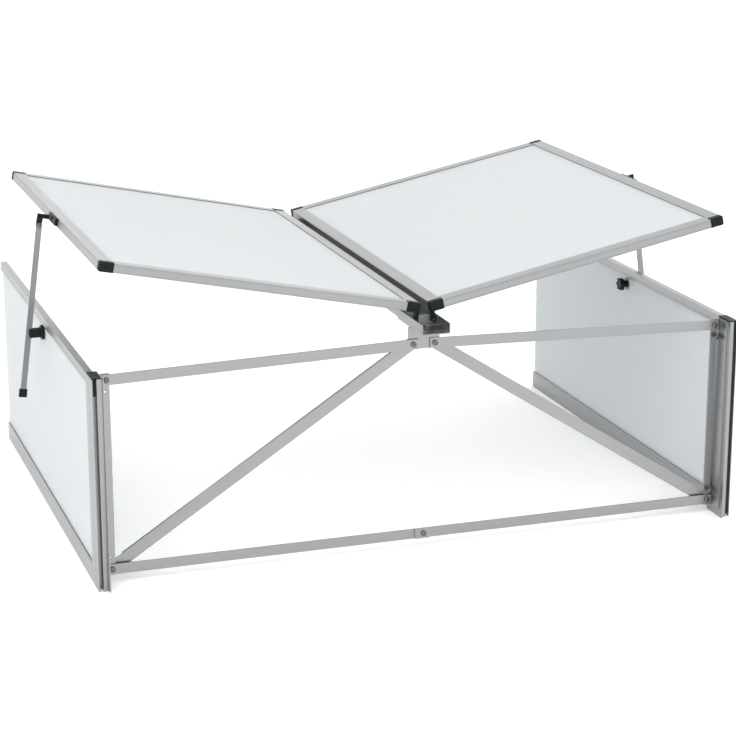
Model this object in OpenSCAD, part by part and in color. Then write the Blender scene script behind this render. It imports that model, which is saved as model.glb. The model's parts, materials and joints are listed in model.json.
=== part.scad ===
// Cold frame module: two glazed side walls, an open bolted cross-frame in
// front, a ridge rail, and two lids that hinge on it and are held by props.
// X is the width, Y the depth (front is -Y), Z is up. Millimetres.

/* [Overall] */
// Width over the outer faces of the side walls
frame_w = 1224; // [900:1:1600]
// Depth of a side wall, front post included
wall_d = 942; // [720:1:1300]
// Height of a side wall to the top of its rail
wall_h = 385; // [320:1:420]

/* [Side walls] */
// Width of the front post, across the wall
post_w = 20; // [18:0.5:26]
// Depth of the front post, along the wall
post_d = 60; // [54:1:76]
// Reach of the post's fin in front of its slot
fin_l = 8; // [2:0.5:12]
// Thickness of the post's fin
fin_t = 2.4; // [2:0.1:3]
// Thickness of the post's shell
shell_t = 1.6; // [1.4:0.1:2]
// Width of the front slot in the post
slot_w = 7; // [6:0.5:8.5]
// Depth of the front slot in the post
slot_d = 16; // [10:0.5:20]
// Width of the post's inner flange
flange_w = 18; // [17:0.5:24]
// Thickness of the post's inner flange
flange_t = 3; // [2:0.5:4]
// Distance of the flange behind the front of the fin
flange_set = 43; // [35:0.5:50]
// Thickness of the wall rails
wall_rail_t = 13; // [12:0.5:18]
// Height of the wall's top rail
top_rail_h = 18; // [16:0.5:30]
// Height of the wall's bottom rail
bottom_rail_h = 36; // [20:0.5:60]
// Thickness of the plastic plate of a post cap
post_cap_t = 2; // [1.5:0.5:4]
// Length of the tongue that a post cap puts into the slot
post_tongue_l = 30; // [10:1:60]

/* [Glazing] */
// Thickness of the twin-wall sheets
sheet_t = 6; // [4:0.5:8]
// Thickness of each skin and web of a sheet
skin_t = 0.5; // [0.5:0.1:1]
// Distance between the webs of a sheet
web_pitch = 10; // [8:0.5:16]

/* [Cross-frame] */
// Width of the flat rails
bar_w = 19; // [16:0.5:26]
// Thickness of the flat rails and of the centre bracket
bar_t = 3; // [2:0.5:4]
// Width of the diagonal braces
brace_w = 22; // [16:0.5:28]
// Thickness of the braces
brace_t = 2.5; // [2:0.5:3]
// Depth of the lip along a brace's upper edge
brace_lip = 7; // [4:0.5:12]
// Height of the bottom bolts above the ground
bottom_bolt_z = 27; // [22:1:40]
// Depth of the top corner bolts below the top of the wall
corner_bolt_drop = 12; // [12:1:20]
// Distance of the corner bolts from the post
corner_bolt_in = 12; // [9:0.5:12]
// Distance between the two bolts of the centre bracket
centre_bolt_gap = 41; // [34:1:60]
// Gap between the two top rails at the centre bracket
splice_gap = 22; // [1:1:24]
// Diameter of the cross-frame bolts
bolt_d = 6; // [4:0.5:6]
// Diameter of the bolt heads
head_d = 10.5; // [9:0.5:12]
// Overlap of the bottom rails at the middle bolt
lap_l = 24; // [20:1:40]
// Width of the centre bracket
bracket_w = 60; // [56:1:100]
// Diameter of the spare holes in the post flanges
panel_hole_d = 5; // [4:0.5:6]
// Height of the lower spare hole
panel_hole_z = 47; // [46:1:90]
// Depth of the upper spare hole below the top of the wall
panel_hole_drop = 34; // [30:1:60]
// How far the heads of the right post's two spare bolts stand off the flange
spare_bolt_off = 8; // [4:0.5:14]

/* [Ridge] */
// Height of the hinge pins above the top of the wall
hinge_rise = 46; // [40:1:70]
// Distance of each hinge pin from the middle
hinge_x = 17.5; // [17:0.5:25]
// Diameter of the hinge pins
pin_d = 5; // [4:0.5:5]
// Outer width of the ridge rail
ridge_w = 49.4; // [49:0.1:70]
// Height of the ridge rail
ridge_h = 18; // [16:0.5:30]
// Wall thickness of the ridge rail and of the connector
ridge_t = 1.8; // [1.5:0.1:2.5]
// Height of the connector's sides
connector_h = 19; // [16:0.5:30]
// How far the connector reaches out in front of the posts
nose = 20; // [10:1:60]
// How far the connector reaches in under the ridge rail
connector_in = 110; // [95:1:160]

/* [Lids] */
// Distance of a lid's outer edge from the wall's outer face, before it is tilted
lid_inset = 26.5; // [24:0.5:40]
// Distance of the lids' rear edge from the rear of the walls
lid_rear_in = 40; // [2:1:60]
// Thickness of a lid's rails
lid_t = 16; // [14:0.5:20]
// Width of a lid's rails
lid_rail_w = 24; // [20:0.5:34]
// Angle of the open lids above the horizontal
lid_angle = 11.7; // [6:0.1:16]
// Height of a lid's underside above the hinge pin
lid_lift = 17; // [16:0.5:24]
// How far a corner cap reaches past the side rail
cap_lap = 1; // [0.5:0.5:10]
// Length of a corner cap along the side rail
cap_d = 12; // [10:1:20]

/* [Props] */
// Length of a prop bar below the claw
prop_tail = 122; // [70:1:126]
// Width of a prop bar
prop_w = 11; // [9:0.5:13]
// Thickness of a prop bar
prop_t = 3; // [2:0.5:4]
// Distance of a prop bar's middle from the wall's outer face, at the claw
prop_off = 25.8; // [24:0.1:28]
// How far the prop's pivot stands out from the lid
pivot_out = 20; // [18:0.5:24]
// Depth of the prop's pivot below the lid's underside
pivot_drop = 13; // [12:0.5:15]
// Depth of the claw's middle below the top of the wall
claw_drop = 33; // [33:0.5:40]
// Diameter of the claw's disc
claw_d = 28; // [20:0.5:28]
// How far the claw's disc stands out from the wall's outer face
disc_off = 3; // [2:0.5:3.5]
// Width of the claw's jaws
jaw_w = 16; // [10:0.5:20]
// Reach of the claw's jaws from the wall's outer face
claw_reach = 26; // [20:0.5:30]
// Diameter of the clamp knob
knob_d = 26; // [20:0.5:32]

/* [Hidden] */
$fn = 48;
clear = 0.3;
sheet_fit = sheet_t + 0.6;
groove_d = 10;
line_w = 1.2;
half_w = frame_w / 2;
front_y = -(wall_d - nose) / 2;
rear_y = front_y + wall_d;
mid_y = (front_y + rear_y) / 2;
rail_y = front_y + flange_set - bar_t;
flange_y = front_y + flange_set;
brace_y = flange_y + flange_t;
leg_w = 2;
bar_end = half_w - post_w - leg_w - 0.5;
corner_x = half_w - post_w - corner_bolt_in;
corner_z = wall_h - corner_bolt_drop;
spare_x = corner_x + 3;
flange_z = bottom_bolt_z - bar_w / 2 - 2;
centre_x = centre_bolt_gap / 2;
hinge_z = wall_h + hinge_rise;
centre_drop = 43.5;
centre_z = hinge_z - centre_drop;
ridge_z = hinge_z - pin_d / 2 - 7.5;
connector_z = ridge_z - ridge_t;
connector_w = ridge_w + 2 * clear + 2 * ridge_t;
bracket_screw_y = flange_y + 25;
lid_y0 = rail_y - 4;
lid_y1 = rear_y - lid_rear_in;
lid_in = -2.5;
lid_out = half_w - lid_inset;
lid_w = lid_out - lid_in;
lid_sheet_z = lid_lift + lid_t - sheet_t - 2;
pivot_x = lid_out + pivot_out;
pivot_z = lid_lift - pivot_drop;
claw_z = wall_h - claw_drop;
sheet_x = half_w - wall_rail_t / 2;
eye_d = 10;
leg_t = 8;
leg_in = 2;
cap_skin = 1;
cap_end = 4;
bore_gap = 0.2;
pin_gap = 0.1;
washer_t = 1.5;
knob_t = 16;
small_screw_d = 4;

// ---- helpers ----

// Draws the right-hand side as it is, and the left-hand side as its mirror image
module side(s) {
    if (s > 0) children();
    else mirror([1, 0, 0]) children();
}

// Box from its lowest corner to its highest corner
module block(a, b) {
    translate(a) cube(b - a);
}

// Cylinder along +Y from a point
module rod_y(p, d, l) {
    translate(p) rotate([-90, 0, 0]) cylinder(d = d, h = l);
}

// Cylinder along +X from a point
module rod_x(p, d, l) {
    translate(p) rotate([0, 90, 0]) cylinder(d = d, h = l);
}

// Outline of a twin-wall sheet's end: two skins joined by webs, w wide
module twin_wall(w) {
    cells = floor(w / web_pitch);
    cell = (w - skin_t) / cells;
    difference() {
        square([w, sheet_t]);
        for (i = [0 : cells - 1])
            translate([skin_t + i * cell, skin_t]) square([cell - skin_t, sheet_t - 2 * skin_t]);
    }
}

// Outline of a glazing rail: w by h, hollow, with a groove for the sheet in its +X side
// whose middle lies at height z, and small decorative lines at the places given
module glazing_rail(w, h, z, lines) {
    difference() {
        square([w, h]);
        translate([w - groove_d, z - sheet_fit / 2]) square([groove_d + 1, sheet_fit]);
        translate([shell_t, shell_t]) square([w - groove_d - 2 * shell_t, h - 2 * shell_t]);
        for (p = lines) translate(p) square(line_w, center = true);
    }
}

// ---- side walls: drawn for the right-hand side ----

// Post outline, from the front of the fin backwards (+Y) and from the outer face inwards (+X)
module post_outline() {
    body_d = post_d - fin_l;
    difference() {
        union() {
            translate([0, fin_l]) square([post_w, body_d]);
            translate([post_w - fin_t, 0]) square([fin_t, fin_l + 1]);
        }
        translate([shell_t, fin_l - 1]) square([slot_w, slot_d + 1]);
        translate([slot_w + 2 * shell_t, fin_l + shell_t])
            square([post_w - slot_w - 3 * shell_t, slot_d - shell_t]);
        translate([shell_t, fin_l + slot_d + shell_t])
            square([post_w - 2 * shell_t, body_d - slot_d - groove_d - 2 * shell_t]);
        translate([wall_rail_t / 2 - sheet_fit / 2, post_d - groove_d]) square([sheet_fit, groove_d + 1]);
        translate([0, fin_l + slot_d + 6]) square(line_w, center = true);
    }
}

// Outline of the angle on the post's inner side: the flange for the cross-frame and a leg along the post
module flange_outline() {
    translate([post_w - 0.5, flange_set]) square([flange_w + 0.5, flange_t]);
    translate([post_w - 0.5, fin_l + 4]) square([leg_w + 0.5, flange_set - fin_l - 3]);
}

module front_post() {
    color("silver") difference() {
        translate([half_w, front_y, 0]) mirror([1, 0, 0]) union() {
            linear_extrude(wall_h) post_outline();
            translate([0, 0, flange_z]) linear_extrude(wall_h - 1 - flange_z) flange_outline();
        }
        for (z = [corner_z, bottom_bolt_z])
            rod_y([corner_x, front_y, z], bolt_d + 2 * bore_gap, post_d);
        for (z = [panel_hole_z, wall_h - panel_hole_drop])
            rod_y([spare_x, front_y, z], panel_hole_d, post_d);
    }
}

// Lines along both faces of a wall rail, near its glazed edge
function wall_lines(w) = [[w - 5.5, 0], [w - 5.5, wall_rail_t]];

module wall_top_rail() {
    color("silver") translate([half_w, front_y + post_d, wall_h]) rotate([-90, 0, 0])
        linear_extrude(wall_d - post_d) rotate(90)
        glazing_rail(top_rail_h, wall_rail_t, wall_rail_t / 2, wall_lines(top_rail_h));
}

module wall_bottom_rail() {
    color("silver") translate([half_w, rear_y, 0]) rotate([90, 0, 0])
        linear_extrude(wall_d - post_d) rotate(90)
        glazing_rail(bottom_rail_h, wall_rail_t, wall_rail_t / 2, wall_lines(bottom_rail_h));
}

module wall_sheet() {
    y0 = front_y + post_d - groove_d + 1;
    z0 = bottom_rail_h - groove_d + 1;
    z1 = wall_h - top_rail_h + groove_d - 1;
    color("azure") difference() {
        translate([sheet_x + sheet_t / 2, y0, z0]) rotate(90) linear_extrude(z1 - z0) twin_wall(rear_y - y0);
        rod_x([sheet_x - sheet_t, mid_y, claw_z], bolt_d + 2 * bore_gap, 2 * sheet_t);
    }
}

// Cap on the post's top, with a tongue in its slot
module post_cap() {
    x = half_w - shell_t - slot_w + clear;
    y = front_y + fin_l;
    color("black") union() {
        block([half_w - post_w + fin_t + clear, y, wall_h], [half_w - clear, y + 46, wall_h + post_cap_t]);
        block([x, y + 0.5, wall_h - post_tongue_l], [x + slot_w - 2 * clear, y + slot_d - clear, wall_h]);
    }
}

// Screws in the inner face of the posts that hold the wall rails
module corner_screws() {
    y = front_y + post_d - 6;
    for (s = [-1, 1], z = [bottom_rail_h + 11, wall_h - 21])
        color("gray") side(s) union() {
            rod_x([half_w - post_w - 3, y, z], 2 * small_screw_d, 3);
            rod_x([half_w - post_w - 6, y, z], small_screw_d, 3);
        }
}

// ---- cross-frame ----

rail_rise = atan2(centre_z - corner_z, corner_x - centre_x);
brace_rise = atan2(centre_z - bottom_bolt_z, corner_x - centre_x);

module frame_hole(x, z) {
    rod_y([x, front_y - 1, z], bolt_d + 2 * bore_gap, 2 * post_d);
}

module front_top_rail() {
    color("silver") difference() {
        intersection() {
            translate([corner_x, rail_y, corner_z]) rotate([0, 180 + rail_rise, 0])
                block([-30, 0, -bar_w / 2], [corner_x + 40, bar_t, bar_w / 2]);
            block([splice_gap / 2, rail_y - 1, corner_z - bar_w], [bar_end, rail_y + bar_t + 1, hinge_z]);
        }
        frame_hole(corner_x, corner_z);
        frame_hole(centre_x, centre_z);
    }
}

// Diagonal from the bottom corner to the centre bracket, with a lip along its upper edge
module front_brace() {
    low_z = bottom_bolt_z - bar_w / 2;
    color("silver") difference() {
        intersection() {
            translate([corner_x, brace_y, bottom_bolt_z]) rotate([0, 180 + brace_rise, 0]) union() {
                block([-40, 0, -brace_w / 2], [corner_x * 2, brace_t, brace_w / 2]);
                block([30, 0, -brace_w / 2], [corner_x * 2, brace_lip, -brace_w / 2 + brace_t]);
            }
            block([4, brace_y - 1, low_z], [bar_end, brace_y + brace_lip + 1, centre_z + bar_w / 2]);
        }
        frame_hole(corner_x, bottom_bolt_z);
        frame_hole(centre_x, centre_z);
    }
}

// Flat bar along X at the height of the bottom bolts, its front face at y
module bottom_bar(x0, x1, y) {
    block([x0, y, bottom_bolt_z - bar_w / 2], [x1, y + bar_t, bottom_bolt_z + bar_w / 2]);
}

module front_bottom_rail_right() {
    color("silver") difference() {
        bottom_bar(-lap_l / 2, bar_end, rail_y);
        frame_hole(corner_x, bottom_bolt_z);
        frame_hole(0, bottom_bolt_z);
    }
}

// The left rail steps forward at its inner end, to lie over the right one
module front_bottom_rail_left() {
    step_x = -lap_l / 2 - 0.5;
    color("silver") difference() {
        union() {
            bottom_bar(-bar_end, step_x, rail_y);
            bottom_bar(step_x - 4, lap_l / 2, rail_y - bar_t);
        }
        frame_hole(-corner_x, bottom_bolt_z);
        frame_hole(0, bottom_bolt_z);
    }
}

// Angle bracket: an upright plate behind the rails and a foot under the ridge connector
module centre_bracket() {
    half = bracket_w / 2;
    foot = bracket_w / 3;
    color("silver") difference() {
        union() {
            block([-half, flange_y, centre_z - bar_w / 2], [half, brace_y, connector_z]);
            block([-foot, flange_y, connector_z - bar_t], [foot, flange_y + 40, connector_z]);
        }
        for (s = [-1, 1]) frame_hole(s * centre_x, centre_z);
        translate([0, bracket_screw_y, connector_z - 10]) cylinder(d = small_screw_d + 2 * bore_gap, h = 20);
    }
}

// Places of the cross-frame bolts: x, z, front of the head, back of the nut's seat
BOLTS = [
    for (s = [-1, 1]) each [
        [s * corner_x, corner_z, rail_y, brace_y],
        [s * corner_x, bottom_bolt_z, rail_y, brace_y + brace_t],
        [s * centre_x, centre_z, rail_y, brace_y + brace_t]
    ],
    [0, bottom_bolt_z, rail_y - bar_t, rail_y + bar_t]
];

module frame_bolts() {
    for (b = BOLTS)
        color("gray") union() {
            rod_y([b[0], b[2] - 3, b[1]], head_d, 3);
            rod_y([b[0], b[2] - 0.01, b[1]], bolt_d, b[3] - b[2] + 7);
        }
}

module frame_nuts() {
    for (b = BOLTS)
        color("gray") difference() {
            translate([b[0], b[3], b[1]]) rotate([-90, 0, 0]) cylinder(d = 11.5, h = 5, $fn = 6);
            rod_y([b[0], b[3] - 1, b[1]], bolt_d, 7);
        }
}

// Two loose bolts in the spare holes of the right post, each held by a nut behind the flange
module spare_bolts() {
    d = panel_hole_d - 2 * bore_gap;
    head_y = flange_y - spare_bolt_off;
    for (z = [panel_hole_z, wall_h - panel_hole_drop])
        color("gray") union() {
            rod_y([spare_x, head_y - 3.5, z], 9, 3.5);
            rod_y([spare_x, head_y - 0.01, z], d, spare_bolt_off + flange_t + 6);
            translate([spare_x, brace_y, z]) rotate([-90, 0, 0]) cylinder(d = 9.2, h = 4, $fn = 6);
        }
}

// ---- ridge ----

// Open-topped channel: w by h outside, t thick, along +Y
module channel(w, h, t, y0, y1, z) {
    difference() {
        block([-w / 2, y0, z], [w / 2, y1, z + h]);
        block([-w / 2 + t, y0 - 1, z + t], [w / 2 - t, y1 + 1, z + h + 1]);
    }
}

nose_screw_x = -5;
NOSE_SCREW_Y = [rail_y - 26, rail_y - 9];

module ridge_connector() {
    color("silver") difference() {
        channel(connector_w, connector_h, ridge_t, front_y - nose, front_y + connector_in, connector_z);
        for (p = [[nose_screw_x, NOSE_SCREW_Y[0]], [nose_screw_x, NOSE_SCREW_Y[1]], [0, bracket_screw_y]])
            translate([p[0], p[1], connector_z - 1]) cylinder(d = small_screw_d + 2 * bore_gap, h = 5);
    }
}

// Floor of the ridge rail
module ridge_rail() {
    color("silver") difference() {
        block([-ridge_w / 2, lid_y0 + leg_in, ridge_z], [ridge_w / 2, rear_y, ridge_z + ridge_t]);
        translate([0, bracket_screw_y, ridge_z - 1]) cylinder(d = small_screw_d + 2 * bore_gap, h = 5);
    }
}

// Upright sides of the ridge rail, drawn in one piece with its floor
module ridge_rail_sides() {
    for (s = [0, 1]) mirror([s, 0, 0]) color("silver")
        block([ridge_w / 2 - ridge_t, lid_y0 + leg_in, ridge_z + ridge_t],
            [ridge_w / 2, rear_y, ridge_z + ridge_h]);
}

// Cross plates inside the ridge rail that carry the hinge pins
module hinge_plates() {
    half = ridge_w / 2 - ridge_t;
    for (y = [lid_y0 + leg_in + leg_t + clear, lid_y1 - leg_in - leg_t - clear - bar_t])
        color("silver") difference() {
            block([-half, y, ridge_z + ridge_t], [half, y + bar_t, ridge_z + ridge_h]);
            for (s = [-1, 1]) rod_y([s * hinge_x, y - 1, hinge_z], pin_d, bar_t + 2);
        }
}

module hinge_pins() {
    l = leg_t + clear + bar_t;
    for (s = [-1, 1], y = [lid_y0 + leg_in, lid_y1 - leg_in - l])
        color("gray") rod_y([s * hinge_x, y, hinge_z], pin_d, l);
}

// Two screws in the connector's nose and one that holds connector, rail and bracket together
module ridge_screws() {
    head_d = 2 * small_screw_d;
    for (y = NOSE_SCREW_Y)
        color("gray") translate([nose_screw_x, y, connector_z]) union() {
            translate([0, 0, -6]) cylinder(d = small_screw_d, h = 6 + ridge_t + 0.01);
            translate([0, 0, ridge_t]) cylinder(d = head_d, h = 2.5);
            translate([0, 0, -3.2]) cylinder(d = head_d, h = 3.2, $fn = 6);
        }
    color("gray") translate([0, bracket_screw_y, connector_z - bar_t]) union() {
        cylinder(d = small_screw_d, h = bar_t + 2 * ridge_t + 0.01);
        translate([0, 0, bar_t + 2 * ridge_t]) cylinder(d = head_d, h = 2.5);
    }
}

// ---- prop claws and knobs: drawn for the right-hand side ----

claw_x0 = sheet_x + sheet_t / 2 + washer_t;
claw_x1 = half_w + disc_off;
jaw_gap = prop_t + 2 * clear;

// Disc on the outside of the wall, with two jaws that the prop bar slides between
module prop_claw() {
    jaw_t = 5;
    color([0.1, 0.13, 0.13]) difference() {
        union() {
            rod_x([claw_x0, mid_y, claw_z], claw_d, claw_x1 - claw_x0);
            for (y = [mid_y + jaw_gap / 2, mid_y - jaw_gap / 2 - jaw_t])
                intersection() {
                    block([claw_x1 - 0.01, y, claw_z - jaw_w / 2],
                          [half_w + claw_reach, y + jaw_t, claw_z + jaw_w / 2]);
                    rod_y([half_w + 2, y - 1, claw_z], 2 * claw_reach - 4, jaw_t + 2);
                }
        }
        rod_x([claw_x0 - 1, mid_y, claw_z], bolt_d, disc_off + 10);
    }
}

module claw_studs() {
    x0 = sheet_x - sheet_t / 2 - washer_t - knob_t + 2;
    for (s = [-1, 1])
        color("gray") side(s) rod_x([x0, mid_y, claw_z], bolt_d, claw_x1 - x0);
}

module claw_washers() {
    for (s = [-1, 1], x = [sheet_x + sheet_t / 2, sheet_x - sheet_t / 2 - washer_t])
        color("silver") side(s) difference() {
            rod_x([x, mid_y, claw_z], claw_d - 4, washer_t);
            rod_x([x - 1, mid_y, claw_z], bolt_d, washer_t + 2);
        }
}

// Round knob with lobes on the inside of the wall
module clamp_knob() {
    x0 = sheet_x - sheet_t / 2 - washer_t - clear;
    lobe_d = 7;
    hub_l = 7;
    lobe_r = (knob_d - lobe_d) / 2;
    color([0.1, 0.13, 0.13]) difference() {
        union() {
            rod_x([x0 - hub_l, mid_y, claw_z], 2 * hub_l, hub_l);
            rod_x([x0 - knob_t, mid_y, claw_z], knob_d - lobe_d, knob_t - hub_l);
            for (a = [0 : 60 : 300])
                rod_x([x0 - knob_t, mid_y + lobe_r * cos(a), claw_z + lobe_r * sin(a)],
                      lobe_d, knob_t - hub_l);
        }
        rod_x([x0 - knob_t + 2, mid_y, claw_z], bolt_d + clear, knob_t);
    }
}

// ---- lids: drawn for the right-hand side about the hinge pin ----

// Turns the lid's own frame to its open place
module lid_place() {
    translate([hinge_x, 0, hinge_z]) rotate([0, -lid_angle, 0]) children();
}

sheet_mid = lid_sheet_z - lid_lift + sheet_t / 2;
cap_l = lid_rail_w + cap_lap;

// Outline of a lid's rails, with a line near each edge of the outer face
module lid_rail_outline() {
    glazing_rail(lid_rail_w, lid_t, sheet_mid, [[0, 2], [0, lid_t - 2]]);
}

// Side rail outline laid along the depth; its groove faces the middle of the lid
module lid_side_rail(x, flip) {
    translate([x, lid_y1 - cap_end, lid_lift]) mirror([flip, 0, 0]) rotate([90, 0, 0])
        linear_extrude(lid_y1 - lid_y0 - 2 * cap_end) lid_rail_outline();
}

module lid_inner_rail() {
    color("silver") lid_place() lid_side_rail(lid_in, 0);
}

module lid_outer_rail() {
    color("silver") lid_place() lid_side_rail(lid_out, 1);
}

module lid_cross_rail() {
    rotate([90, 0, 90]) linear_extrude(lid_w - 2 * lid_rail_w) lid_rail_outline();
}

module lid_front_rail() {
    color("silver") lid_place() translate([lid_in + lid_rail_w, lid_y0, lid_lift]) lid_cross_rail();
}

module lid_rear_rail() {
    color("silver") lid_place() translate([lid_in + lid_rail_w, lid_y1, lid_lift])
        mirror([0, 1, 0]) lid_cross_rail();
}

module lid_sheet() {
    seat = groove_d - 1;
    x0 = lid_in + lid_rail_w - seat;
    x1 = lid_out - lid_rail_w + seat;
    y0 = lid_y0 + lid_rail_w - seat;
    y1 = lid_y1 - lid_rail_w + seat;
    color("azure") lid_place() translate([x0, y0, lid_sheet_z]) rotate([90, 0, 90])
        linear_extrude(x1 - x0) twin_wall(y1 - y0);
}

// Cap that closes the corner at the front: a skin round the ends of both rails
module corner_cap() {
    difference() {
        block([-cap_skin, -cap_skin, -cap_skin], [cap_l, cap_d, lid_t + cap_skin]);
        block([lid_rail_w, 0, 0], [cap_l + 1, cap_d + 1, lid_t]);
        block([0, cap_end, 0], [lid_rail_w, cap_d + 1, lid_t]);
    }
}

module lid_outer_caps() {
    color([0.08, 0.12, 0.11]) lid_place() for (s = [0, 1])
        translate([lid_out, s == 0 ? lid_y0 : lid_y1, lid_lift])
            mirror([1, 0, 0]) mirror([0, s, 0]) corner_cap();
}

// Inner corner cap with the leg that turns on the hinge pin
module hinge_cap() {
    w = 8;
    difference() {
        union() {
            translate([lid_in, 0, lid_lift]) corner_cap();
            block([-w / 2, leg_in, 0], [w / 2, leg_in + leg_t, lid_lift - cap_skin + 0.01]);
            rod_y([0, leg_in, 0], eye_d, leg_t);
        }
        rod_y([0, 1, 0], pin_d + 2 * pin_gap, leg_t + 2);
    }
}

module lid_front_hinge_cap() {
    color([0.08, 0.12, 0.11]) lid_place() translate([0, lid_y0, 0]) hinge_cap();
}

module lid_rear_hinge_cap() {
    color([0.08, 0.12, 0.11]) lid_place() translate([0, lid_y1, 0]) mirror([0, 1, 0]) hinge_cap();
}

// ---- props: drawn for the right-hand side ----

tab_t = 4;
tab_y = mid_y + prop_t / 2 + clear;
base_t = 4;
base_l = 66;

base_screw_d = 3.6;
BASE_SCREW_Y = [tab_y - base_l + 12, tab_y - 18];

// Plastic bracket on the lid's outer face, with a tab that carries the pivot
module prop_bracket() {
    top_z = lid_lift + 9;
    low_z = lid_lift + 1;
    tab_end = tab_y + tab_t;
    color([0.08, 0.12, 0.11]) lid_place() difference() {
        union() {
            block([lid_out, tab_end - base_l, low_z], [lid_out + base_t, tab_end, lid_lift + lid_t - 1]);
            block([lid_out, tab_y, low_z], [pivot_x, tab_end, top_z]);
            block([pivot_x - prop_w / 2, tab_y, pivot_z], [pivot_x + prop_w / 2, tab_end, top_z]);
            rod_y([pivot_x, tab_y, pivot_z], prop_w, tab_t);
        }
        rod_y([pivot_x, tab_y - 1, pivot_z], pin_d, tab_t + 2);
        for (y = BASE_SCREW_Y) rod_x([lid_out - 1, y, lid_lift + lid_t / 2], base_screw_d, base_t + 2);
    }
}

module bracket_screws() {
    for (y = BASE_SCREW_Y)
        color("gray") lid_place() union() {
            rod_x([lid_out, y, lid_lift + lid_t / 2], base_screw_d, base_t);
            rod_x([lid_out + base_t, y, lid_lift + lid_t / 2], 2 * base_screw_d, 2);
        }
}

module prop_pivot() {
    color("gray") lid_place() union() {
        rod_y([pivot_x, mid_y - prop_t / 2 - clear - 3, pivot_z], 9, 3);
        rod_y([pivot_x, mid_y - prop_t / 2 - clear - 0.01, pivot_z], pin_d, prop_t + 2 * clear + tab_t);
    }
}

// Place of the right prop's pivot, and its run from there to the claw
prop_x = hinge_x + pivot_x * cos(lid_angle) - pivot_z * sin(lid_angle);
prop_z = hinge_z + pivot_x * sin(lid_angle) + pivot_z * cos(lid_angle);
prop_run = half_w + prop_off - prop_x;
prop_lean = atan2(prop_run, prop_z - claw_z);
prop_l = norm([prop_run, prop_z - claw_z]) + prop_tail;

// Prop's own frame: the pivot at the origin and the bar hanging down -Z
module prop_place() {
    translate([prop_x, mid_y, prop_z]) rotate([0, -prop_lean, 0]) children();
}

module prop_bar() {
    color("silver") prop_place() difference() {
        union() {
            block([-prop_w / 2, -prop_t / 2, -prop_l], [prop_w / 2, prop_t / 2, 0]);
            rod_y([0, -prop_t / 2, 0], prop_w, prop_t);
        }
        rod_y([0, -prop_t, 0], pin_d + 2 * pin_gap, 2 * prop_t);
    }
}

module prop_foot() {
    foot_l = 16;
    color([0.08, 0.12, 0.11]) prop_place() difference() {
        block([-prop_w / 2 - 2, -prop_t / 2 - 2, -prop_l - 3],
              [prop_w / 2 + 2, prop_t / 2 + 2, -prop_l + foot_l - 3]);
        block([-prop_w / 2, -prop_t / 2, -prop_l], [prop_w / 2, prop_t / 2, 0]);
    }
}

side(-1) front_post();  // front_post_left
side(1) front_post();  // front_post_right
side(-1) wall_top_rail();  // wall_top_rail_left
side(1) wall_top_rail();  // wall_top_rail_right
side(-1) wall_bottom_rail();  // wall_bottom_rail_left
side(1) wall_bottom_rail();  // wall_bottom_rail_right
side(-1) wall_sheet();  // wall_sheet_left
side(1) wall_sheet();  // wall_sheet_right
side(-1) post_cap();  // post_cap_left
side(1) post_cap();  // post_cap_right
corner_screws();
side(-1) front_top_rail();  // front_top_rail_left
side(1) front_top_rail();  // front_top_rail_right
side(-1) front_brace();  // front_brace_left
side(1) front_brace();  // front_brace_right
front_bottom_rail_left();
front_bottom_rail_right();
centre_bracket();
frame_bolts();
frame_nuts();
spare_bolts();
ridge_connector();
ridge_rail();
ridge_rail_sides();
hinge_plates();
hinge_pins();
ridge_screws();
side(-1) prop_claw();  // prop_claw_left
side(1) prop_claw();  // prop_claw_right
claw_studs();
claw_washers();
side(-1) clamp_knob();  // clamp_knob_left
side(1) clamp_knob();  // clamp_knob_right
side(-1) lid_front_rail();  // lid_front_rail_left
side(-1) lid_rear_rail();  // lid_rear_rail_left
side(-1) lid_outer_rail();  // lid_outer_rail_left
side(-1) lid_inner_rail();  // lid_inner_rail_left
side(-1) lid_sheet();  // lid_sheet_left
side(-1) lid_outer_caps();  // lid_outer_caps_left
side(-1) lid_front_hinge_cap();  // lid_front_hinge_cap_left
side(-1) lid_rear_hinge_cap();  // lid_rear_hinge_cap_left
side(-1) prop_bracket();  // prop_bracket_left
side(-1) bracket_screws();  // bracket_screws_left
side(1) lid_front_rail();  // lid_front_rail_right
side(1) lid_rear_rail();  // lid_rear_rail_right
side(1) lid_outer_rail();  // lid_outer_rail_right
side(1) lid_inner_rail();  // lid_inner_rail_right
side(1) lid_sheet();  // lid_sheet_right
side(1) lid_outer_caps();  // lid_outer_caps_right
side(1) lid_front_hinge_cap();  // lid_front_hinge_cap_right
side(1) lid_rear_hinge_cap();  // lid_rear_hinge_cap_right
side(1) prop_bracket();  // prop_bracket_right
side(1) bracket_screws();  // bracket_screws_right
side(-1) prop_bar();  // prop_bar_left
side(1) prop_bar();  // prop_bar_right
side(-1) prop_foot();  // prop_foot_left
side(1) prop_foot();  // prop_foot_right
side(-1) prop_pivot();  // prop_pivot_left
side(1) prop_pivot();  // prop_pivot_right
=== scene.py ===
"""Looks for the cold frame module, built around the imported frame."""

import json
import math
from functools import cache

import bmesh
import bpy
from bpy.props import FloatProperty, FloatVectorProperty, IntProperty, PointerProperty
from bpy.types import Operator, Panel, PropertyGroup
from mathutils import Matrix, Vector


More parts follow.
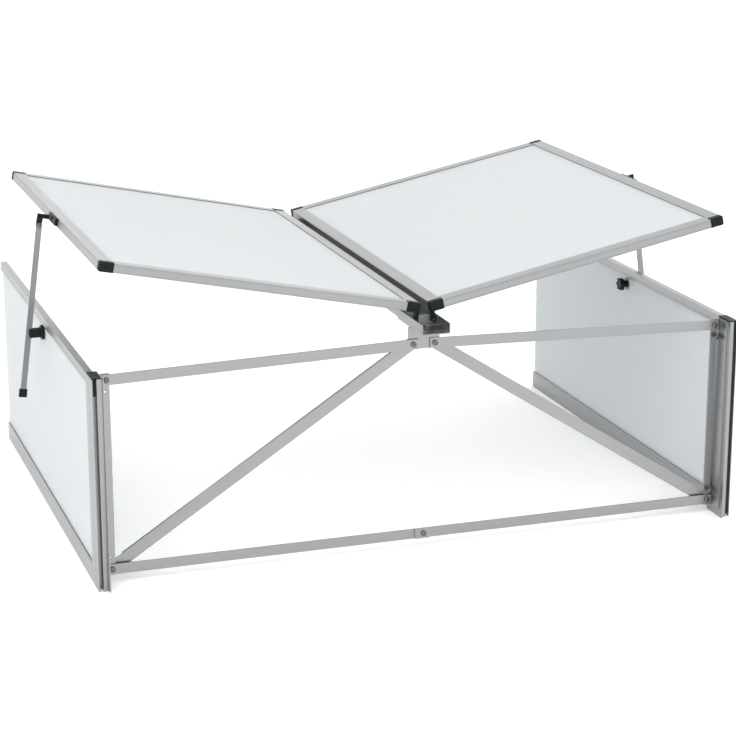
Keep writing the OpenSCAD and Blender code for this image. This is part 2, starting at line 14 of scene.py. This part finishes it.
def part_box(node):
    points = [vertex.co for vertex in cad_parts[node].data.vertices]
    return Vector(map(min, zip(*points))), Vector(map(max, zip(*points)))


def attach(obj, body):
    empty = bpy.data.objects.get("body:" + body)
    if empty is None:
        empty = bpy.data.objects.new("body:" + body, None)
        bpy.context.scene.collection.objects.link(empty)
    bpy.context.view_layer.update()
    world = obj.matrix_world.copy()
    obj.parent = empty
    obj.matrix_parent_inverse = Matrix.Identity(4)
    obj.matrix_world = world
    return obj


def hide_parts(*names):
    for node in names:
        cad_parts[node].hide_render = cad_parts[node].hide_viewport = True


bl_info = {
    "name": "Cold frame module",
    "version": (1, 0, 0),
    "blender": (4, 5, 0),
    "location": "3D View > Sidebar > Cold frame",
    "description": "Builds the finished pieces of a two-lid cold frame around its packed model",
    "category": "Object",
}

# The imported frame: its box before anything is finished, its nodes, and each node's body and slot
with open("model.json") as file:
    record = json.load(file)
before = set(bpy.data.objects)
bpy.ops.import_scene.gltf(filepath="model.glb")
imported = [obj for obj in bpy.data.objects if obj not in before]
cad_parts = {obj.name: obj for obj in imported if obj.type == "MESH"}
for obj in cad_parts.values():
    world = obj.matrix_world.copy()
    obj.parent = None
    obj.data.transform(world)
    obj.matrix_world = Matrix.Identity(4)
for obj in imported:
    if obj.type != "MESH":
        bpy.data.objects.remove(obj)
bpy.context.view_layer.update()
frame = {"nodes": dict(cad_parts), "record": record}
NODES = frame["nodes"]
RECORD = frame["record"]
BODY_OF = {node: body for body, nodes in RECORD["behaviour"]["bodies"].items() for node in nodes}
SLOT_OF = {part["node"]: part["material_slot"] for part in RECORD["subparts"]}

# Nodes of the ridge rail, and how the names of the lids' caps and of the hardware without a head start
RIDGE = ("ridge_rail", "ridge_rail_sides")
LID_CAPS = ("lid_outer_caps", "lid_front_hinge_cap", "lid_rear_hinge_cap")
HEADLESS = ("frame_nuts", "hinge_pins", "claw_studs", "claw_washers")

# Corners nearer than MERGE are one corner, and faces that meet at less than FLAT_ANGLE are one face
MERGE = 5e-6
FLAT_ANGLE = math.radians(0.3)
# Edges sharper than SHARP_ANGLE stay sharp in the shading; those sharper than BEVEL_ANGLE are rounded
SHARP_ANGLE = math.radians(28)
BEVEL_ANGLE = math.radians(35)
# Least part of a face's normal along an axis for the face to be square to it
SQUARE = 0.99

# Lid caps: steps in the round of a corner, how far the waste reaches past a cap, and how far the
# rounded core stands proud of the cap's faces, in metres
CORNER_STEPS = 6
CAP_SPARE = 0.001
CAP_SLACK = 0.00002
# Radius of a screw's dome as a part of the radius of the head under it
DOME_FIT = 0.97
# Sockets of a Random Value node for plain numbers; their names are shared with those for other kinds
RANDOM_MAX, RANDOM_VALUE = 3, 1
# Radians through which a wave texture goes in one unit at a scale of 1
WAVE_RADIANS = 20
# Aluminium materials by direction and brightness
EXTRUSIONS = {}

# Half the floor's side, the end of the camera's view, and the lights, in metres
FLOOR_REACH = 40
CAMERA_REACH = 100
LIGHT_AIM = (0, 0, 0.3)
KEY_SIZE, KEY_PLACE = (3, 2), (-2.2, -2.6, 3.4)
FILL_SIZE, FILL_PLACE = (3, 3), (3.2, -1.2, 2.6)


# ---- settings ----


class ColdFrameFinish(PropertyGroup):
    """Colours and gloss of the finishes"""

    aluminium: FloatVectorProperty(
        name="Aluminium", description="Colour of the bare extrusions",
        subtype="COLOR", size=3, default=(0.32, 0.325, 0.332), min=0, max=1)
    bar_shade: FloatProperty(
        name="Prop shade", description="Brightness of the props against the other extrusions",
        subtype="FACTOR", default=0.8, min=0, max=1)
    aluminium_roughness: FloatProperty(
        name="Aluminium roughness", description="How dull the extrusions are",
        subtype="FACTOR", default=0.33, min=0, max=1)
    sheet: FloatVectorProperty(
        name="Sheet", description="Colour of the twin-wall sheets",
        subtype="COLOR", size=3, default=(0.79, 0.815, 0.825), min=0, max=1)
    sheet_cover: FloatProperty(
        name="Sheet cover", description="How much of the light a skin of the sheet holds back",
        subtype="FACTOR", default=0.72, min=0, max=1)
    flute: FloatProperty(
        name="Flute", description="Distance between the webs that show faintly through the sheets",
        subtype="DISTANCE", unit="LENGTH", default=0.01, min=0.004, max=0.02, precision=4)
    sheet_glow: FloatProperty(
        name="Sheet glow", description="How much of the light a skin of the sheet lets through, scattered",
        subtype="FACTOR", default=0.3, min=0, max=1)
    plastic: FloatVectorProperty(
        name="Plastic", description="Colour of the moulded caps, claws and knobs",
        subtype="COLOR", size=3, default=(0.004, 0.010, 0.009), min=0, max=1)
    steel: FloatVectorProperty(
        name="Steel", description="Colour of the plated bolts and screws",
        subtype="COLOR", size=3, default=(0.17, 0.168, 0.16), min=0, max=1)


class ColdFrameSizes(PropertyGroup):
    """Sizes of the details that finish the pieces"""

    rail_edge: FloatProperty(
        name="Rail edge", description="Radius on the edges of the extrusions",
        subtype="DISTANCE", unit="LENGTH", default=0.00035, min=0, max=0.002, precision=5)
    cap_edge: FloatProperty(
        name="Cap edge", description="Radius on the small edges of the moulded pieces",
        subtype="DISTANCE", unit="LENGTH", default=0.0003, min=0, max=0.001, precision=5)
    cap_corner: FloatProperty(
        name="Cap corner", description="Radius on the outer edges of the lids' corner caps",
        subtype="DISTANCE", unit="LENGTH", default=0.0031, min=0, max=0.0033, precision=5)
    knob_edge: FloatProperty(
        name="Knob edge", description="Radius on the edges of the claws, knobs and brackets",
        subtype="DISTANCE", unit="LENGTH", default=0.0008, min=0, max=0.0015, precision=5)
    nut_edge: FloatProperty(
        name="Nut edge", description="Width of the chamfer on nuts, pins and washers",
        subtype="DISTANCE", unit="LENGTH", default=0.0004, min=0, max=0.001, precision=5)
    dome: FloatProperty(
        name="Dome", description="Height of a screw head's dome as a part of the head's radius",
        default=0.2, min=0.05, max=0.5)
    recess_width: FloatProperty(
        name="Recess width", description="Width of the cross in a screw head as a part of its radius",
        default=0.26, min=0.1, max=0.5)
    recess_span: FloatProperty(
        name="Recess span", description="Span of the cross in a screw head as a part of its diameter",
        default=0.62, min=0.3, max=0.9)
    seed: IntProperty(
        name="Seed", description="Chooses how far each screw is turned", default=7, min=0)


class ColdFrameStudio(PropertyGroup):
    """Camera and light"""

    azimuth: FloatProperty(
        name="Azimuth", description="Turn of the camera round the frame",
        subtype="ANGLE", unit="ROTATION", default=math.radians(-18.658))
    elevation: FloatProperty(
        name="Elevation", description="Height of the camera above the horizon, as an angle",
        subtype="ANGLE", unit="ROTATION", default=math.radians(15.908))
    distance: FloatProperty(
        name="Distance", description="Distance of the camera from the point it looks at",
        subtype="DISTANCE", unit="LENGTH", default=4.307, min=1)
    aim: FloatVectorProperty(
        name="Aim", description="Point that the camera looks at",
        subtype="XYZ", unit="LENGTH", size=3, default=(0.0353, 0.0, 0.2251))
    lens: FloatProperty(
        name="Lens", description="Focal length of the camera in millimetres",
        default=105.505, min=20, max=300)
    floor: FloatVectorProperty(
        name="Floor", description="Colour of the floor",
        subtype="COLOR", size=3, default=(0.93, 0.93, 0.93), min=0, max=1)
    floor_glow: FloatProperty(
        name="Floor glow", description="Light that the floor adds, to keep the shadows pale",
        default=0.2, min=0)
    horizon: FloatProperty(
        name="Horizon", description="Brightness of the room at eye height", default=1.6, min=0)
    zenith: FloatProperty(
        name="Zenith", description="Brightness of the room overhead", default=0.9, min=0)
    key: FloatProperty(
        name="Key", description="Power of the large light at the front left", default=60, min=0)
    fill: FloatProperty(
        name="Fill", description="Power of the large light at the right", default=25, min=0)


def nodes_of(slot):
    """Names of the CAD nodes in a material slot"""
    return [node for node in sorted(NODES) if SLOT_OF[node] == slot]


def finish():
    """The scene's colours and gloss"""
    return bpy.context.scene.cold_frame_finish


def sizes():
    """The scene's sizes of details"""
    return bpy.context.scene.cold_frame_sizes


def studio():
    """The scene's camera and light"""
    return bpy.context.scene.cold_frame_studio


# ---- materials ----


class Shader:
    """A node material with one Principled shader and helpers that add nodes to it"""

    # Sockets of a Mix node that is set to colours; their names are shared with those for numbers
    MIX_FACTOR, MIX_LOW, MIX_HIGH, MIX_RESULT = 0, 6, 7, 2
    # Values of a noise texture are seldom outside these
    NOISE_LOW, NOISE_HIGH = 0.3, 0.7

    def __init__(self, name):
        self.material = bpy.data.materials.new(name)
        self.material.use_nodes = True
        self.tree = self.material.node_tree
        self.surface = self.tree.nodes["Principled BSDF"]

    def add(self, kind, **values):
        """A node with its settings and inputs given by name, with _ for the spaces in an input's name"""
        node = self.tree.nodes.new("ShaderNode" + kind)
        for key, value in values.items():
            if hasattr(node, key):
                setattr(node, key, value)
            else:
                node.inputs[key.replace("_", " ")].default_value = value
        return node

    def link(self, start, end):
        self.tree.links.new(start, end)

    def set(self, socket, value):
        """Sets a value that is the same all over the surface"""
        self.surface.inputs[socket].default_value = value

    def grain(self, length=1.0, width=1.0, along=(1, 0, 0)):
        """Object coordinates in which the grain has a length in one direction and a width across it"""
        coordinates = self.add("TexCoord")
        mapping = self.add("Mapping", vector_type="TEXTURE")
        turn = Vector((1, 0, 0)).rotation_difference(Vector(along))
        mapping.inputs["Rotation"].default_value = turn.to_euler()
        mapping.inputs["Scale"].default_value = (length, width, width)
        self.link(coordinates.outputs["Object"], mapping.inputs["Vector"])
        return mapping.outputs["Vector"]

    def noise(self, vector, scale=1.0, detail=3.0, roughness=0.5):
        """Noise from 0 to 1"""
        node = self.add("TexNoise", Scale=scale, Detail=detail, Roughness=roughness)
        self.link(vector, node.inputs["Vector"])
        return node.outputs["Fac"]

    def vary_colour(self, factor, colour, darkest, lightest):
        """Gives the surface a colour that is shaded from darkest to lightest as factor goes from 0 to 1"""
        mix = self.add("Mix", data_type="RGBA")
        mix.inputs[self.MIX_LOW].default_value = (*shade(colour, darkest), 1)
        mix.inputs[self.MIX_HIGH].default_value = (*shade(colour, lightest), 1)
        self.link(factor, mix.inputs[self.MIX_FACTOR])
        self.link(mix.outputs[self.MIX_RESULT], self.surface.inputs["Base Color"])

    def vary_roughness(self, noise, low, high):
        """Gives the surface a roughness from low to high, as the noise goes through its usual range"""
        node = self.add("MapRange", From_Min=self.NOISE_LOW, From_Max=self.NOISE_HIGH,
                        To_Min=low, To_Max=high)
        self.link(noise, node.inputs["Value"])
        self.link(node.outputs["Result"], self.surface.inputs["Roughness"])

    def bump(self, height, strength, depth):
        """Gives the surface a relief of the depth in metres"""
        node = self.add("Bump", Strength=strength, Distance=depth)
        self.link(height, node.inputs["Height"])
        self.link(node.outputs["Normal"], self.surface.inputs["Normal"])


def shade(colour, factor):
    """The colour made brighter or darker"""
    return tuple(min(1.0, c * factor) for c in colour)


def aluminium(along, brightness=1.0):
    """Satin aluminium drawn in the direction along; pieces drawn the same way share one material"""
    key = (*(round(c, 2) for c in along), brightness)
    if key not in EXTRUSIONS:
        colour = shade(finish().aluminium, brightness)
        EXTRUSIONS[key] = extrusion(f"aluminium_{len(EXTRUSIONS)}", along, colour)
    return EXTRUSIONS[key]


def extrusion(name, along, colour):
    """Satin metal with long fine die lines and faint clouds of brightness"""
    shader = Shader(name)
    lines = shader.noise(shader.grain(length=0.16, width=0.0011, along=along), detail=4.0, roughness=0.6)
    cloud = shader.noise(shader.grain(length=0.33, width=0.08, along=along), detail=2.0)
    shader.set("Metallic", 1.0)
    shader.vary_colour(cloud, colour, darkest=0.92, lightest=1.08)
    rough = finish().aluminium_roughness
    shader.vary_roughness(lines, low=rough - 0.06, high=rough + 0.08)
    shader.bump(lines, strength=0.25, depth=0.0002)
    return shader.material


@cache
def plastic():
    """Dark moulded plastic with a fine spark-eroded grain"""
    shader = Shader("black_plastic")
    grain = shader.noise(shader.grain(), scale=2600, detail=2.0)
    cloud = shader.noise(shader.grain(), scale=45)
    shader.vary_colour(cloud, finish().plastic, darkest=0.7, lightest=1.5)
    shader.vary_roughness(cloud, low=0.38, high=0.52)
    shader.set("Specular IOR Level", 0.15)
    shader.bump(grain, strength=0.3, depth=0.00015)
    return shader.material


@cache
def steel():
    """Zinc-plated steel"""
    shader = Shader("zinc_steel")
    cloud = shader.noise(shader.grain(), scale=220, detail=4.0)
    shader.set("Metallic", 1.0)
    shader.vary_colour(cloud, finish().steel, darkest=0.8, lightest=1.1)
    shader.vary_roughness(cloud, low=0.22, high=0.4)
    shader.bump(cloud, strength=0.15, depth=0.0001)
    return shader.material


@cache
def twin_wall():
    """Milky translucent sheet whose webs show faintly"""
    shader = Shader("twin_wall_polycarbonate")
    webs = shader.add("TexWave", bands_direction="Y", Scale=math.tau / WAVE_RADIANS / finish().flute)
    shader.link(shader.grain(), webs.inputs["Vector"])
    shader.vary_colour(webs.outputs["Fac"], finish().sheet, darkest=0.965, lightest=1.02)
    shader.bump(webs.outputs["Fac"], strength=0.2, depth=0.0003)
    shader.set("Roughness", 0.55)
    shader.set("IOR", 1.1)
    shader.set("Transmission Weight", finish().sheet_glow)
    shader.set("Alpha", finish().sheet_cover)
    return shader.material


# ---- mesh helpers ----


def linked(name, data):
    """A new object in the scene"""
    made = bpy.data.objects.new(name, data)
    bpy.context.scene.collection.objects.link(made)
    return made


def bmesh_of(mesh):
    """A bmesh copy of a mesh"""
    bm = bmesh.new()
    bm.from_mesh(mesh)
    return bm


def mesh_of(bm, name):
    """A mesh of a bmesh, which is freed"""
    mesh = bpy.data.meshes.new(name)
    bm.to_mesh(mesh)
    bm.free()
    return mesh


def whole_faces(bm):
    """The bmesh with its loose triangles joined into whole flat faces"""
    bmesh.ops.remove_doubles(bm, verts=bm.verts, dist=MERGE)
    bmesh.ops.dissolve_limit(bm, angle_limit=FLAT_ANGLE, verts=bm.verts, edges=bm.edges)
    return bm


def merged(node):
    """A bmesh copy of a CAD node, in whole faces"""
    return whole_faces(bmesh_of(NODES[node].data))


def shaded(mesh):
    """The mesh, shaded smooth but for its sharp edges"""
    mesh.shade_smooth()
    mesh.set_sharp_from_angle(angle=SHARP_ANGLE)
    return mesh


def applied(mesh, kind, **settings):
    """The mesh with one modifier applied"""
    temporary = linked(mesh.name, mesh)
    modifier = temporary.modifiers.new(kind.title(), kind)
    for key, value in settings.items():
        setattr(modifier, key, value)
    evaluated = temporary.evaluated_get(bpy.context.evaluated_depsgraph_get())
    result = bpy.data.meshes.new_from_object(evaluated)
    bpy.data.objects.remove(temporary)
    return result


def rounded(bm, name, radius, segments=2):
    """A mesh of a bmesh, which is freed, with its sharp edges rounded"""
    return applied(shaded(mesh_of(bm, name)), "BEVEL", width=radius, segments=segments, limit_method="ANGLE",
                   angle_limit=BEVEL_ANGLE, harden_normals=True, use_clamp_overlap=True)


def carve(mesh, other, operation):
    """The mesh with another joined to it or taken from it"""
    tool = linked("tool", other)
    made = applied(mesh, "BOOLEAN", operation=operation, object=tool, solver="EXACT")
    bpy.data.objects.remove(tool)
    return made


def combine(name, meshes):
    """One mesh of several"""
    bm = bmesh.new()
    for mesh in meshes:
        bm.from_mesh(mesh)
    return mesh_of(bm, name)


def box_between(low, high, radius=0):
    """Mesh of a box from its lowest corner to its highest corner, its edges rounded to the radius"""
    bm = bmesh.new()
    size = high - low
    bmesh.ops.create_cube(bm, size=1, matrix=Matrix.Translation(low + size / 2) @ Matrix.Diagonal((*size, 1)))
    if radius:
        bmesh.ops.bevel(bm, geom=bm.edges[:], offset=radius, offset_type="OFFSET", segments=CORNER_STEPS,
                        profile=0.5, affect="EDGES")
    return mesh_of(bm, "box")


def islands(bm):
    """Lists of faces that hang together, in the order of the mesh"""
    found = set()
    for first in bm.faces:
        if first in found:
            continue
        found.add(first)
        group = [first]
        for face in group:
            for other in (f for edge in face.edges for f in edge.link_faces):
                if other not in found:
                    found.add(other)
                    group.append(other)
        yield group


def largest(faces):
    """The face with the largest area"""
    return max(faces, key=lambda face: face.calc_area())


def drawn_along(node):
    """Direction in which an extrusion was drawn, which is that of its longest edge"""
    bm = merged(node)
    edge = max(bm.edges, key=lambda e: e.calc_length())
    line = (edge.verts[1].co - edge.verts[0].co).normalized()
    bm.free()
    return line if max(line, key=abs) > 0 else -line


def place(mesh, material, *nodes):
    """Makes the finished piece that stands for the nodes, and rides where the first of them rides"""
    piece = linked(nodes[0] + "_finished", mesh)
    mesh.materials.clear()
    mesh.materials.append(material)
    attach(piece, BODY_OF[nodes[0]])
    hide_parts(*nodes)


def soften(node, radius, material, segments=2):
    """Replaces a CAD node with a copy whose edges are rounded"""
    place(rounded(merged(node), node, radius, segments), material, node)


# ---- lid caps ----


def lid_middle(side):
    """Middle of a lid's sheet"""
    low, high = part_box("lid_sheet_" + side)
    return (Vector(low) + Vector(high)) / 2


def cap_waste(node, lean, middle):
    """What is filed off the caps of a lid: the lid leans by lean, and its middle is inboard of each cap.

    It is a shell round each cap, less a rounded core that runs on inboard, so that only the outer
    edges are filed. The lower edges of a cap with a hinge leg stay square, because the leg grows
    out of them.
    """
    radius = sizes().cap_corner
    run_on = 3 * radius
    spare, slack = Vector((CAP_SPARE,) * 3), Vector((CAP_SLACK,) * 3)
    level = lean.inverted()
    bm = merged(node)
    bmesh.ops.rotate(bm, verts=bm.verts, matrix=level.to_matrix())
    inboard = level @ middle
    waste = []
    for island in islands(bm):
        top = largest(f for f in island if f.normal.z > SQUARE)
        side = largest(f for f in island if abs(f.normal.y) > SQUARE)
        low = Vector([min(v.co[i] for v in top.verts) for i in (0, 1)] + [min(v.co.z for v in side.verts)])
        high = Vector(max(v.co[i] for v in top.verts) for i in range(3))
        core_low, core_high = low - slack, high + slack
        for i in (0, 1):
            if inboard[i] > high[i]:
                core_high[i] += run_on
            else:
                core_low[i] -= run_on
        shell_low = low - spare
        if min(v.co.z for face in island for v in face.verts) < shell_low.z:
            core_low.z -= run_on
        core = box_between(core_low, core_high, radius)
        waste.append(carve(box_between(shell_low, high + spare), core, "DIFFERENCE"))
    bm.free()
    made = combine("waste", waste)
    made.transform(lean.to_matrix().to_4x4())
    return made


# ---- screw heads ----


def dome_mesh():
    """Domed top of a screw head of radius 1, with a cross recess"""
    rings, steps = 7, 40
    height = sizes().dome
    recess_floor = height / 10
    sphere = (1 + height * height) / (2 * height)
    turns = [math.tau * i / steps for i in range(steps)]
    bm = bmesh.new()
    rows = []
    for ring in range(rings):
        r = 1 - ring / rings
        z = math.sqrt(sphere * sphere - r * r) - (sphere - height)
        rows.append([bm.verts.new((r * math.cos(turn), r * math.sin(turn), z)) for turn in turns])
    skirt = [bm.verts.new((v.co.x, v.co.y, -height)) for v in rows[0]]
    bm.faces.new(reversed(skirt))
    for low, high in zip([skirt] + rows, rows):
        for i in range(steps):
            bm.faces.new((low[i], low[(i + 1) % steps], high[(i + 1) % steps], high[i]))
    top = bm.verts.new((0, 0, height))
    for i in range(steps):
        bm.faces.new((rows[-1][i], rows[-1][(i + 1) % steps], top))
    mesh = mesh_of(bm, "dome")
    reach, half_width = sizes().recess_span, sizes().recess_width / 2
    for x, y in ((reach, half_width), (half_width, reach)):
        slot = box_between(Vector((-x, -y, recess_floor)), Vector((x, y, 2 * height)))
        mesh = carve(mesh, slot, "DIFFERENCE")
    return shaded(mesh)


@cache
def heads_group():
    """Geometry nodes that put a screw head on every point, each turned by its own amount"""
    tree = bpy.data.node_groups.new("Screw heads", "GeometryNodeTree")
    for name, kind in (("Points", "Geometry"), ("Head", "Object"), ("Seed", "Int"), ("Material", "Material")):
        tree.interface.new_socket(name=name, in_out="INPUT", socket_type="NodeSocket" + kind)
    tree.interface.new_socket(name="Heads", in_out="OUTPUT", socket_type="NodeSocketGeometry")

    def add(kind, **values):
        node = tree.nodes.new(kind)
        for key, value in values.items():
            setattr(node, key, value)
        return node

    link = tree.links.new
    start, end = add("NodeGroupInput"), add("NodeGroupOutput")
    head = add("GeometryNodeObjectInfo")
    place_on = add("GeometryNodeInstanceOnPoints")
    axis = add("GeometryNodeInputNamedAttribute", data_type="FLOAT_VECTOR")
    axis.inputs["Name"].default_value = "axis"
    size = add("GeometryNodeInputNamedAttribute", data_type="FLOAT")
    size.inputs["Name"].default_value = "radius"
    align = add("FunctionNodeAlignRotationToVector", axis="Z")
    turn = add("FunctionNodeRandomValue", data_type="FLOAT")
    turn.inputs[RANDOM_MAX].default_value = math.tau
    spin = add("FunctionNodeAxisAngleToRotation")
    both = add("FunctionNodeRotateRotation", rotation_space="LOCAL")
    realize = add("GeometryNodeRealizeInstances")
    paint = add("GeometryNodeSetMaterial")
    link(start.outputs["Points"], place_on.inputs["Points"])
    link(start.outputs["Head"], head.inputs["Object"])
    link(start.outputs["Seed"], turn.inputs["Seed"])
    link(start.outputs["Material"], paint.inputs["Material"])
    link(head.outputs["Geometry"], place_on.inputs["Instance"])
    link(axis.outputs["Attribute"], align.inputs["Vector"])
    link(turn.outputs[RANDOM_VALUE], spin.inputs["Angle"])
    link(align.outputs["Rotation"], both.inputs["Rotation"])
    link(spin.outputs["Rotation"], both.inputs["Rotate By"])
    link(both.outputs["Rotation"], place_on.inputs["Rotation"])
    link(size.outputs["Attribute"], place_on.inputs["Scale"])
    link(place_on.outputs["Instances"], realize.inputs["Geometry"])
    link(realize.outputs["Geometry"], paint.inputs["Geometry"])
    link(paint.outputs["Geometry"], end.inputs["Heads"])
    return tree


def heads(node, bm):
    """Mesh of the domes on the heads of a node's screws; a screw's head is its largest face"""
    points = bmesh.new()
    axis = points.verts.layers.float_vector.new("axis")
    radius = points.verts.layers.float.new("radius")
    for island in islands(bm):
        face = largest(island)
        centre = face.calc_center_median()
        point = points.verts.new(centre)
        point[axis] = face.normal
        point[radius] = DOME_FIT * max((v.co - centre).length for v in face.verts)
    head = linked("head", dome_mesh())
    carrier = linked("carrier", mesh_of(points, node + "_points"))
    modifier = carrier.modifiers.new("Screw heads", "NODES")
    modifier.node_group = heads_group()
    values = {"Head": head, "Seed": sizes().seed, "Material": steel()}
    for item in heads_group().interface.items_tree:
        if item.in_out == "INPUT" and item.name in values:
            modifier[item.identifier] = values[item.name]
    carrier.update_tag()
    evaluated = carrier.evaluated_get(bpy.context.evaluated_depsgraph_get())
    made = bpy.data.meshes.new_from_object(evaluated)
    bpy.data.objects.remove(carrier)
    bpy.data.objects.remove(head)
    return made


# ---- stage ----


def place_camera(view):
    """Camera at the view's angles, looking at its aim"""
    level = math.cos(view.elevation)
    back = Vector((math.sin(view.azimuth) * level, -math.cos(view.azimuth) * level, math.sin(view.elevation)))
    camera = linked("camera", bpy.data.cameras.new("camera"))
    camera.data.lens = view.lens
    camera.data.clip_end = CAMERA_REACH
    camera.location = Vector(view.aim) + back * view.distance
    camera.rotation_euler = (-back).to_track_quat("-Z", "Y").to_euler()
    bpy.context.scene.camera = camera


def lay_floor(view):
    """Pale floor, a little lit from within"""
    shader = Shader("floor")
    shader.set("Base Color", (*view.floor, 1))
    shader.set("Roughness", 0.9)
    shader.set("Emission Color", (1, 1, 1, 1))
    shader.set("Emission Strength", view.floor_glow)
    bm = bmesh.new()
    bmesh.ops.create_grid(bm, x_segments=1, y_segments=1, size=FLOOR_REACH)
    mesh = mesh_of(bm, "floor")
    mesh.materials.append(shader.material)
    floor = linked("floor", mesh)


def light_room(view):
    """White room whose brightness goes from the horizon's to the zenith's"""
    world = bpy.data.worlds.new("studio")
    world.use_nodes = True
    nodes, link = world.node_tree.nodes, world.node_tree.links.new
    background = nodes["Background"]
    direction = nodes.new("ShaderNodeTexCoord")
    split = nodes.new("ShaderNodeSeparateXYZ")
    height = nodes.new("ShaderNodeMapRange")
    background.inputs["Color"].default_value = (1, 1, 1, 1)
    height.inputs["To Min"].default_value = view.horizon
    height.inputs["To Max"].default_value = view.zenith
    link(direction.outputs["Generated"], split.inputs["Vector"])
    link(split.outputs["Z"], height.inputs["Value"])
    link(height.outputs["Result"], background.inputs["Strength"])
    bpy.context.scene.world = world


def area_light(name, power, size, location):
    """Large soft light aimed at the middle of the frame"""
    light = bpy.data.lights.new(name, "AREA")
    light.energy = power
    light.shape = "RECTANGLE"
    light.size, light.size_y = size
    lamp = linked(name, light)
    lamp.location = location
    lamp.rotation_euler = (Vector(LIGHT_AIM) - Vector(location)).to_track_quat("-Z", "Y").to_euler()


# ---- operators ----


class COLDFRAME_OT_rails(Operator):
    """Posts, rails, braces, bracket and connector of bare aluminium"""

    bl_idname = "coldframe.rails"
    bl_label = "Aluminium rails"

    def execute(self, context):
        for node in nodes_of("aluminium"):
            if node not in RIDGE:
                brightness = finish().bar_shade if node.startswith("prop_bar") else 1.0
                soften(node, sizes().rail_edge, aluminium(drawn_along(node), brightness))
        return {"FINISHED"}


class COLDFRAME_OT_ridge(Operator):
    """Ridge rail: its floor and its two sides in one extrusion"""

    bl_idname = "coldframe.ridge"
    bl_label = "Ridge rail"

    def execute(self, context):
        floor, sides = (shaded(mesh_of(merged(node), node)) for node in RIDGE)
        whole = whole_faces(bmesh_of(carve(floor, sides, "UNION")))
        made = rounded(whole, "ridge", sizes().rail_edge)
        place(made, aluminium(Vector((0, 1, 0))), *RIDGE)
        return {"FINISHED"}


class COLDFRAME_OT_sheets(Operator):
    """Twin-wall sheets of the walls and lids"""

    bl_idname = "coldframe.sheets"
    bl_label = "Twin-wall sheets"

    def execute(self, context):
        for node in nodes_of("twin_wall_polycarbonate"):
            NODES[node].data.materials.clear()
            NODES[node].data.materials.append(twin_wall())
        return {"FINISHED"}


class COLDFRAME_OT_caps(Operator):
    """Corner and hinge caps of the lids, rounded on the outside of their corner"""

    bl_idname = "coldframe.caps"
    bl_label = "Lid caps"

    def execute(self, context):
        for node in nodes_of("black_plastic"):
            if not node.startswith(LID_CAPS):
                continue
            side = node.rsplit("_", 1)[1]
            across = Vector((1, 0, 0)) if side == "right" else Vector((-1, 0, 0))
            along = drawn_along("lid_front_rail_" + side)
            lean = across.rotation_difference(along if along.dot(across) > 0 else -along)
            cap = shaded(mesh_of(merged(node), node))
            filed = carve(cap, cap_waste(node, lean, lid_middle(side)), "DIFFERENCE")
            place(rounded(bmesh_of(filed), node, sizes().cap_edge), plastic(), node)
        return {"FINISHED"}


class COLDFRAME_OT_mouldings(Operator):
    """Post caps, and the claws, knobs, brackets and feet of the props"""

    bl_idname = "coldframe.mouldings"
    bl_label = "Mouldings"

    def execute(self, context):
        for node in nodes_of("black_plastic"):
            if not node.startswith(LID_CAPS):
                soften(node, sizes().knob_edge, plastic(), segments=3)
        return {"FINISHED"}


class COLDFRAME_OT_screws(Operator):
    """Bolts and screws with domed cross-recess heads"""

    bl_idname = "coldframe.screws"
    bl_label = "Bolts and screws"

    def execute(self, context):
        for node in nodes_of("zinc_steel"):
            if node.startswith(HEADLESS):
                continue
            bm = merged(node)
            domes = heads(node, bm)
            body = rounded(bm, node, sizes().rail_edge)
            place(combine(node, [body, domes]), steel(), node)
        return {"FINISHED"}


class COLDFRAME_OT_nuts(Operator):
    """Nuts, studs, washers and hinge pins"""

    bl_idname = "coldframe.nuts"
    bl_label = "Nuts, studs and pins"

    def execute(self, context):
        for node in nodes_of("zinc_steel"):
            if node.startswith(HEADLESS):
                soften(node, sizes().nut_edge, steel())
        return {"FINISHED"}


class COLDFRAME_OT_stage(Operator):
    """Floor, soft studio light and camera"""

    bl_idname = "coldframe.stage"
    bl_label = "Stage"

    def execute(self, context):
        place_camera(studio())
        lay_floor(studio())
        light_room(studio())
        context.scene.view_settings.view_transform = "Standard"
        area_light("key", studio().key, KEY_SIZE, KEY_PLACE)
        area_light("fill", studio().fill, FILL_SIZE, FILL_PLACE)
        return {"FINISHED"}


OPERATORS = (COLDFRAME_OT_stage, COLDFRAME_OT_rails, COLDFRAME_OT_ridge, COLDFRAME_OT_sheets,
             COLDFRAME_OT_caps, COLDFRAME_OT_mouldings, COLDFRAME_OT_screws, COLDFRAME_OT_nuts)
SETTINGS = {"cold_frame_finish": ColdFrameFinish, "cold_frame_sizes": ColdFrameSizes,
            "cold_frame_studio": ColdFrameStudio}


class COLDFRAME_PT_panel(Panel):
    """Settings and steps of the cold frame"""

    bl_label = "Cold frame"
    bl_idname = "COLDFRAME_PT_panel"
    bl_space_type = "VIEW_3D"
    bl_region_type = "UI"
    bl_category = "Cold frame"

    def draw(self, context):
        for name, group in SETTINGS.items():
            box = self.layout.box()
            for prop in group.__annotations__:
                box.prop(getattr(context.scene, name), prop)
        for operator in OPERATORS:
            self.layout.operator(operator.bl_idname)


def register():
    for group in SETTINGS.values():
        bpy.utils.register_class(group)
    for name, group in SETTINGS.items():
        setattr(bpy.types.Scene, name, PointerProperty(type=group))
    for operator in OPERATORS:
        bpy.utils.register_class(operator)
    bpy.utils.register_class(COLDFRAME_PT_panel)


def unregister():
    bpy.utils.unregister_class(COLDFRAME_PT_panel)
    for operator in reversed(OPERATORS):
        bpy.utils.unregister_class(operator)
    for name, group in SETTINGS.items():
        delattr(bpy.types.Scene, name)
        bpy.utils.unregister_class(group)


def main():
    """Builds every piece in order"""
    register()
    for operator in OPERATORS:
        group, name = operator.bl_idname.split(".")
        getattr(getattr(bpy.ops, group), name)()


if __name__ == "__main__":
    main()
